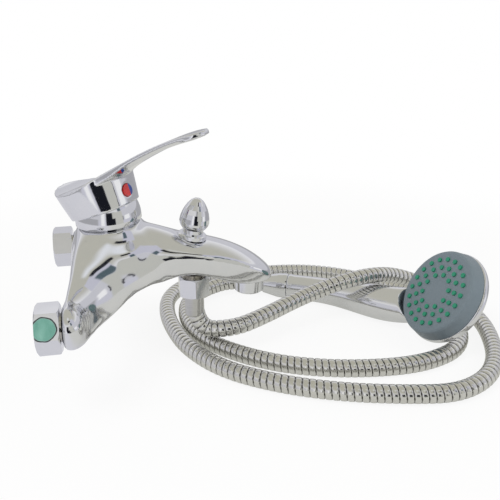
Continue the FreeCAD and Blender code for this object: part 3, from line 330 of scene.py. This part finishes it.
finishes = {
    "chrome": chrome_finish(),
    "hose_steel": hose_finish(),
    "ferrule_steel": satin_finish(),
    "brass": brass_finish(),
    "rubber": rubber_finish(),
    "cartridge_plastic": plain_plastic(
        "cartridge_shell", (0.50, 0.50, 0.47), (0.58, 0.58, 0.55), 0.4
    ),
    "ceramic": plain_plastic("fired_disc", (0.72, 0.70, 0.65), (0.80, 0.79, 0.75), 0.18),
    "steel": steel_finish(),
    "index": index_finish(),
    "aerator_plastic": plain_plastic(
        "aerator_screen", (0.60, 0.60, 0.60), (0.70, 0.70, 0.70), 0.45
    ),
    "face_plastic": plain_plastic("grey_face", (0.150, 0.190, 0.220), (0.180, 0.222, 0.252), 0.38),
    "nozzle_rubber": plain_plastic("green_nozzles", (0.012, 0.21, 0.115), (0.02, 0.28, 0.16), 0.42),
}


slots = {}


def dress_nodes():
    """Give every carried CAD node the finish of its slot, and the near nut its film."""
    for name, piece in frame["nodes"].items():
        slot = piece.data.materials[0].name.split(".")[0]
        slots[name] = slot
        piece.data.materials.clear()
        piece.data.materials.append(finishes[slot])
    filmed = frame["nodes"]["union_nut_near"]
    filmed.data.materials.clear()
    filmed.data.materials.append(filmed_finish())


# The hose

hose_outer = 0.00695
turn_pitch = 0.0052
groove_share = 0.13
groove_depth = 0.0011
crown_drop = 0.0003
steps_per_turn = 10
points_around = 22

# From the ferrule under the spout to the ferrule at the handset, in metres
hose_route = [
    (0.1102, 0.0000, -0.0205),
    (0.1102, 0.0000, -0.0510),
    (0.1400, -0.0080, -0.0500),
    (0.1690, 0.0040, -0.0470),
    (0.1980, 0.0200, -0.0440),
    (0.2220, 0.0280, -0.0400),
    (0.2460, 0.0280, -0.0330),
    (0.2740, 0.0330, -0.0315),
    (0.3000, 0.0440, -0.0385),
    (0.3280, 0.0450, -0.0500),
    (0.3530, 0.0240, -0.0590),
    (0.3610, -0.0080, -0.0650),
    (0.3520, -0.0400, -0.0650),
    (0.3380, -0.0710, -0.0650),
    (0.3160, -0.0950, -0.0650),
    (0.2860, -0.1070, -0.0650),
    (0.2520, -0.1020, -0.0650),
    (0.2060, -0.0900, -0.0650),
    (0.1640, -0.0710, -0.0650),
    (0.1260, -0.0430, -0.0650),
    (0.1030, -0.0060, -0.0650),
    (0.0940, 0.0300, -0.0650),
    (0.0910, 0.0620, -0.0650),
    (0.0950, 0.0920, -0.0650),
    (0.1130, 0.1170, -0.0650),
    (0.1420, 0.1280, -0.0650),
    (0.1780, 0.1320, -0.0650),
    (0.2140, 0.1320, -0.0650),
    (0.2500, 0.1240, -0.0650),
    (0.2840, 0.1020, -0.0650),
    (0.3140, 0.0720, -0.0650),
    (0.3340, 0.0380, -0.0650),
    (0.3400, -0.0040, -0.0650),
    (0.3220, -0.0470, -0.0650),
    (0.2850, -0.0640, -0.0650),
    (0.2440, -0.0650, -0.0650),
    (0.1990, -0.0560, -0.0650),
    (0.1600, -0.0380, -0.0650),
    (0.1250, -0.0060, -0.0650),
    (0.1110, 0.0220, -0.0650),
    (0.1070, 0.0514, -0.0650),
    (0.1122, 0.0809, -0.0650),
    (0.1335, 0.1020, -0.0630),
    (0.1631, 0.1068, -0.0600),
    (0.1901, 0.0937, -0.0600),
]


def route_line():
    """The hose's own centreline: one smooth spline through the laid route."""
    curve = bpy.data.curves.new("hose_line", "CURVE")
    curve.dimensions = "3D"
    spline = curve.splines.new("NURBS")
    spline.points.add(len(hose_route) - 1)
    for point, place in zip(spline.points, hose_route):
        point.co = (*place, 1)
    spline.order_u = 3
    spline.use_endpoint_u = True
    spline.resolution_u = 24
    holder = bpy.data.objects.new("hose_line", curve)
    mesh = bpy.data.meshes.new_from_object(holder)
    points = [vertex.co.copy() for vertex in mesh.vertices]
    bpy.data.meshes.remove(mesh)
    bpy.data.objects.remove(holder)
    bpy.data.curves.remove(curve)
    return points


def even_steps(points, step):
    """Points along the line a steady step apart, and the line's length."""
    lengths = [0.0]
    for a, b in zip(points, points[1:]):
        lengths.append(lengths[-1] + (b - a).length)
    count = max(2, round(lengths[-1] / step))
    places = []
    at = 0
    for number in range(count + 1):
        want = lengths[-1] * number / count
        while at < len(points) - 2 and lengths[at + 1] < want:
            at += 1
        share = (want - lengths[at]) / max(lengths[at + 1] - lengths[at], 1e-9)
        places.append(points[at].lerp(points[at + 1], min(max(share, 0), 1)))
    return places, lengths[-1]


def wound_radius(turn):
    """Radius and painted groove shade over one turn of the strip, turn going from 0 to 1."""
    if turn < groove_share:
        return hose_outer - groove_depth, 1.0
    crown = math.sin(math.pi * (turn - groove_share) / (1 - groove_share)) ** 0.5
    return hose_outer - crown_drop * (1 - crown), 0.0


def make_hose():
    """The wound hose: one tube along its line, with a spiral groove between the turns."""
    places, length = even_steps(route_line(), turn_pitch / steps_per_turn)
    mesh = bpy.data.meshes.new("hose")
    shape = bmesh.new()
    # The groove layer marks the groove and carries the painted shade that hose_finish puts there
    groove = shape.verts.layers.float.new("groove")
    way = (places[1] - places[0]).normalized()
    side = way.orthogonal().normalized()
    rings = []
    for number, place in enumerate(places):
        ahead = places[min(number + 1, len(places) - 1)]
        behind = places[max(number - 1, 0)]
        new_way = (ahead - behind).normalized()
        side = way.rotation_difference(new_way) @ side
        side = (side - new_way * side.dot(new_way)).normalized()
        way = new_way
        up = way.cross(side)
        ring = []
        for spoke in range(points_around):
            angle = 2 * math.pi * spoke / points_around
            turn = (number / steps_per_turn - spoke / points_around) % 1.0
            radius, dark = wound_radius(turn)
            vertex = shape.verts.new(
                place + side * radius * math.cos(angle) + up * radius * math.sin(angle)
            )
            vertex[groove] = dark
            ring.append(vertex)
        rings.append(ring)
    for first, second in zip(rings, rings[1:]):
        for spoke in range(points_around):
            after = (spoke + 1) % points_around
            shape.faces.new((first[spoke], first[after], second[after], second[spoke]))
    shape.faces.new(list(reversed(rings[0])))
    shape.faces.new(rings[-1])
    bmesh.ops.recalc_face_normals(shape, faces=shape.faces)
    for face in shape.faces:
        face.smooth = True
    shape.to_mesh(mesh)
    shape.free()
    mesh.materials.append(finishes["hose_steel"])
    hose = bpy.data.objects.new("wound_hose", mesh)
    bpy.context.collection.objects.link(hose)
    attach(hose, "tap")
    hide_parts("shower_hose")
    return length


# Flowing skins of the cast and moulded pieces

turret = next(joint for joint in frame["joints"] if joint["name"] == "temperature_turn")
turret_axis = Vector(turret["axis"]).normalized()
turret_pivot = Vector(turret["pos_m"])
dome_radius = 0.0241
seam_height = -0.0038
leg_spacing = 0.150


def settle(piece):
    """Make the piece's modifiers part of its mesh."""
    graph = bpy.context.evaluated_depsgraph_get()
    made = bpy.data.meshes.new_from_object(piece.evaluated_get(graph))
    piece.modifiers.clear()
    piece.vertex_groups.clear()
    piece.data = made


def turned(shape, profile, pivot, axis, closed=True, steps=96):
    """Spin a profile of (radius, height) once round an axis, in metres."""
    side = axis.orthogonal().normalized()
    ring = [shape.verts.new(pivot + side * radius + axis * height) for radius, height in profile]
    edges = [shape.edges.new(pair) for pair in zip(ring, ring[1:])]
    if closed:
        edges.append(shape.edges.new((ring[-1], ring[0])))
    bmesh.ops.spin(
        shape,
        geom=ring + edges,
        cent=pivot,
        axis=axis,
        angle=2 * math.pi,
        steps=steps,
        use_merge=True,
    )
    bmesh.ops.remove_doubles(shape, verts=shape.verts, dist=0.000001)


def finished(name, mesh, body, covers):
    """Put a new piece in the scene in place of a CAD piece, with that piece's finish."""
    slot = slots[covers]
    piece = bpy.data.objects.new(name, mesh)
    bpy.context.collection.objects.link(piece)
    mesh.materials.clear()
    mesh.materials.append(finishes[slot])
    for face in mesh.polygons:
        face.use_smooth = True
        face.material_index = 0
    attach(piece, body)
    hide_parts(covers)
    return piece


def flowing_skin(name, covers, body, voxel, flows, swells=()):
    """A copy of a CAD piece whose corners run into each other as polished metal does.

    flows pairs a weight over the piece with its rounds of smoothing, and swells are
    turned shapes that join the piece before it flows.
    """
    source = frame["nodes"][covers]
    mesh = source.data.copy()
    shape = bmesh.new()
    for profile, pivot, axis, closed in swells:
        turned(shape, profile, pivot, axis, closed)
    bmesh.ops.recalc_face_normals(shape, faces=shape.faces)
    shape.from_mesh(mesh)
    bmesh.ops.remove_doubles(shape, verts=shape.verts, dist=0.00001)
    shape.to_mesh(mesh)
    shape.free()
    piece = bpy.data.objects.new(name + "_draft", mesh)
    bpy.context.collection.objects.link(piece)
    remesh = piece.modifiers.new("remesh", "REMESH")
    remesh.mode = "VOXEL"
    remesh.voxel_size = voxel
    settle(piece)
    for weight, rounds in flows:
        group = piece.vertex_groups.new(name="flow")
        for vertex in piece.data.vertices:
            group.add([vertex.index], weight(vertex.co), "REPLACE")
        smooth = piece.modifiers.new("flow", "SMOOTH")
        smooth.factor = 0.5
        smooth.iterations = rounds
        smooth.vertex_group = "flow"
        settle(piece)
    mesh = piece.data
    bpy.data.objects.remove(piece)
    return finished(name, mesh, body, covers)


def rise(value, start, end):
    """0 before start, 1 after end, a soft rise between them."""
    share = min(max((value - start) / (end - start), 0), 1)
    return share * share * (3 - 2 * share)


def band(value, start, full, leave, end):
    """1 between full and leave, 0 before start and after end, soft between them."""
    return rise(value, start, full) * (1 - rise(value, leave, end))


neck_heights = (-0.040, -0.026, -0.0105, -0.0075)
neck_radii = (0.0225, 0.0238, 0.042, 0.052)
shoulder_x = (0.055, 0.070, 0.100, 0.115)
shoulder_y = (0.012, 0.020)
leg_end_x = (0.0180, 0.0220)
leg_end_y = (0.052, 0.068)


def everywhere(place):
    return 1.0


def neck_root(place):
    """The foot of the turret neck, where the casting flares out into legs and spout."""
    along = (place - turret_pivot).dot(turret_axis)
    away = (place - turret_pivot - turret_axis * along).length
    return band(along, *neck_heights) * band(away, *neck_radii)


def shoulder(place):
    """Where the legs' front edges run into the edges of the spout."""
    return band(place.x, *shoulder_x) * rise(abs(place.y), *shoulder_y)


def make_ball_cover():
    """The thin ball-shaped cover on the neck, down to its seam."""
    outer = dome_radius
    inner = dome_radius - 0.0025
    lip = dome_radius - 0.0020
    lip_foot = seam_height - 0.0030
    profile = [
        (lip, lip_foot),
        (lip, seam_height),
        (outer - 0.0003, seam_height),
        (outer, seam_height + 0.0004),
    ]
    angles = [math.radians(4 * step) for step in range(10)]
    profile += [(outer * math.cos(angle), outer * math.sin(angle)) for angle in angles]
    profile += [(inner * math.cos(angle), inner * math.sin(angle)) for angle in reversed(angles)]
    profile.append((inner, lip_foot))
    mesh = bpy.data.meshes.new("ball_cover")
    shape = bmesh.new()
    turned(shape, profile, turret_pivot, turret_axis, True, 128)
    bmesh.ops.recalc_face_normals(shape, faces=shape.faces)
    shape.to_mesh(mesh)
    shape.free()
    return finished("ball_cover", mesh, "tap", "dome_cover")


def leg_end(place):
    """The rounded end of each leg behind its union nut."""
    return rise(abs(place.y), *leg_end_y) * rise(place.x, *leg_end_x)


def leg_noses():
    """A full round nose on each leg, from its face behind the nut to the front of the wing."""
    boss_radius = 0.0150
    face = 0.0156
    edge = 0.0008
    front = 0.0310
    fullness = 2.4
    steps = 12
    profile = [(0, face), (boss_radius - edge, face)]
    for step in range(steps + 1):
        share = step / steps
        radius = boss_radius * (1 - share ** fullness) ** (1 / fullness)
        profile.append((radius, face + edge + (front - face - edge) * share))
    across = Vector((1, 0, 0))
    return [
        (profile, Vector((0, leg_spacing / 2 * side, 0)), across, False)
        for side in (-1, 1)
    ]


collar_wall = 0.0018
collar_foot = -0.012
turret_collar = [
    (dome_radius - collar_wall, collar_foot),
    (dome_radius, collar_foot),
    (dome_radius, seam_height),
    (dome_radius - collar_wall, seam_height),
]


def soften_nuts():
    """Round the edges of the hexagons a little, so that they catch the light."""
    widths = {"union_nut_near": 0.0007, "union_nut_far": 0.0007, "hose_nut": 0.0014}
    for name, width in widths.items():
        piece = frame["nodes"][name]
        weld = piece.modifiers.new("weld", "WELD")
        weld.merge_threshold = 0.00001
        bevel = piece.modifiers.new("soft_edges", "BEVEL")
        bevel.width = width
        bevel.segments = 3
        bevel.limit_method = "ANGLE"
        bevel.angle_limit = math.radians(32)
        bevel.harden_normals = True


dress_nodes()
soften_nuts()
flowing_skin(
    "polished_casting",
    "body_casting",
    "tap",
    voxel=0.0009,
    flows=[(everywhere, 2), (neck_root, 120), (leg_end, 70), (shoulder, 10)],
    swells=[(turret_collar, turret_pivot, turret_axis, True)] + leg_noses(),
)
make_ball_cover()
flowing_skin(
    "polished_lever", "lever_handle", "lever", voxel=0.0006, flows=[(everywhere, 8)]
)
flowing_skin(
    "handset_shell", "handset_body", "tap", voxel=0.0009, flows=[(everywhere, 10)]
)
hose_length = make_hose()
print("hose length", round(hose_length, 4))


# Floor and light

beige = (0.60, 0.60, 0.55)
lavender = (0.66, 0.66, 0.73)
black = (0.012, 0.013, 0.018)
bright = (1.0, 1.0, 1.0)
grey_green = (0.10, 0.14, 0.16)
dim = (0.44, 0.44, 0.46)
white = (1.0, 1.0, 1.0)
near_wall = (0.66, 0.66, 0.70)
far_wall = (0.84, 0.84, 0.92)
ceiling = (0.56, 0.55, 0.48)
curtain = (0.62, 0.62, 0.70)
lamp_glow = (0.85, 0.87, 0.90)
front_left = -34
front_right = 84
floor_size = 12.0
floor_middle = (0.17, 0.2)
under_hose = 0.0002
set_middle = (0.17, 0.05)
tap_middle = (0.05, 0.0)


def bearing_of(x, y):
    """Degrees to the right of straight in front of the tap."""
    return x.maths("ARCTAN2", x, y * -1.0) * math.degrees(1)


def front_wall(tree, bearing, base, window):
    """What stands in front of the tap, over its bearings in degrees.

    A bright strip, a black doorway, a beige screen and a bright window with a black frame.
    """
    wall = blend(tree, within(bearing, -24, -12, 3), base, bright)
    wall = blend(tree, within(bearing, -7, 25), wall, black)
    wall = blend(tree, within(bearing, 25, 51), wall, beige)
    wall = blend(tree, within(bearing, 51, 53, 0.7) * window, wall, black)
    return blend(tree, within(bearing, 58, 78, 3) * window, wall, bright)


def make_floor():
    """The table: white to the camera, and in reflections the table, its end and the room."""
    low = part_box("shower_hose")[0][2]
    mesh = bpy.data.meshes.new("floor")
    shape = bmesh.new()
    bmesh.ops.create_grid(shape, x_segments=1, y_segments=1, size=floor_size / 2)
    bmesh.ops.translate(shape, verts=shape.verts, vec=(*floor_middle, low - under_hose))
    shape.to_mesh(mesh)
    shape.free()
    floor = bpy.data.objects.new("floor", mesh)
    bpy.context.collection.objects.link(floor)
    look = Finish("pale_floor")
    look.set(Base_Color=(0.86, 0.86, 0.87), Roughness=0.9)
    x = look.axis("X") - set_middle[0]
    y = look.axis("Y") - set_middle[1]
    outer = (x * x + y * y).step(0.05, 0.30)
    path = look.add("ShaderNodeLightPath").socket.node
    camera_ray = Level(look.tree, path.outputs["Is Camera Ray"])
    mirror_ray = Level(look.tree, path.outputs["Is Glossy Ray"])
    clear_ray = Level(look.tree, path.outputs["Is Transmission Ray"])
    east = look.axis("X") - tap_middle[0]
    north = look.axis("Y") - tap_middle[1]
    away = east * east + north * north
    beyond = away.step(0.16, 0.20)
    window = away.step(1.2, 1.6)
    bearing = bearing_of(east, north)
    room = look.mix(within(bearing, front_left, front_right, 4), dim, lavender)
    wall = front_wall(look.tree, bearing, room, window)
    table = look.mix(east.step(-0.03, 0.05), lavender, beige)
    mirrored = look.mix(beyond, table, wall)
    shown = look.mix(camera_ray, mirrored, white)
    glow = look.add("ShaderNodeEmission", None, Color=shown, Strength=1.0)
    share = camera_ray * (outer * 0.12 + 0.88)
    share = share + (mirror_ray + clear_ray) * (beyond * 0.35 + 0.65)
    body = Level(look.tree, look.shader.outputs[0])
    both = look.add("ShaderNodeMixShader", None, share, body, glow)
    look.tree.links.new(both.socket, look.tree.nodes["Material Output"].inputs[0])
    mesh.materials.append(look.material)


def make_world():
    """A pale room: lavender walls, beige overhead, and in front what front_wall sets up."""
    world = bpy.data.worlds.new("studio")
    bpy.context.scene.world = world
    world.use_nodes = True
    tree = world.node_tree
    back = tree.nodes["Background"]
    place = node(tree, "ShaderNodeTexCoord")
    x, y, z = (node(tree, "ShaderNodeSeparateXYZ", None, place, out=number) for number in range(3))
    bearing = bearing_of(x, y)
    walls = blend(tree, y.step(-0.3, 0.5), near_wall, far_wall)
    walls = blend(tree, within(z, 0.30, 0.62, 0.08) * 0.6, walls, bright)
    room = blend(tree, z.step(0.35, 0.8), walls, ceiling)
    low = 1 - z.step(0.38, 0.46)
    window_low = 1 - z.step(0.08, 0.14)
    room = blend(tree, low, room, front_wall(tree, bearing, near_wall, window_low))
    screen_top = within(bearing, 15, 27) * within(z, 0.07, 0.42, 0.02)
    room = blend(tree, screen_top, room, beige)
    window = within(bearing, 36, 76, 1) * within(z, 0.42, 0.80, 0.02)
    room = blend(tree, window, room, curtain)
    screen = within(bearing, 38, 50, 2) * within(z, 0.42, 0.64, 0.03)
    room = blend(tree, screen, room, grey_green)
    streak = within(bearing, 20, 46, 2) * within(z, 0.73, 0.82, 0.015)
    room = blend(tree, streak, room, black)
    lamp = within(bearing, 10, 46, 9) * within(z, 0.87, 0.95, 0.04)
    room = blend(tree, lamp, room, lamp_glow)
    skirting = (1 - within(bearing, front_left, front_right, 4)) * (1 - z.step(0.02, 0.05))
    room = blend(tree, skirting, room, dim)
    camera_ray = Level(tree, node(tree, "ShaderNodeLightPath").socket)
    room = blend(tree, camera_ray, room, white)
    tree.links.new(room.socket, back.inputs[0])
    back.inputs[1].default_value = 1.0


def softbox(name, place, aim, width, height, power):
    """A soft lamp that lights the set and doesn't show in the chrome."""
    lamp = bpy.data.lights.new(name, "AREA")
    lamp.shape = "RECTANGLE"
    lamp.size = width
    lamp.size_y = height
    lamp.energy = power
    holder = bpy.data.objects.new(name, lamp)
    holder.location = place
    holder.rotation_euler = (Vector(aim) - Vector(place)).to_track_quat("-Z", "Y").to_euler()
    holder.visible_glossy = False
    bpy.context.collection.objects.link(holder)


make_floor()
make_world()
softbox(
    "key_softbox", place=(-0.5, -0.5, 1.1), aim=(0.15, 0, 0), width=0.7, height=0.5, power=8
)
softbox(
    "fill_softbox", place=(1.0, -0.6, 0.7), aim=(0.2, 0, 0), width=0.5, height=0.6, power=3
)

bpy.context.scene.view_settings.view_transform = "Standard"
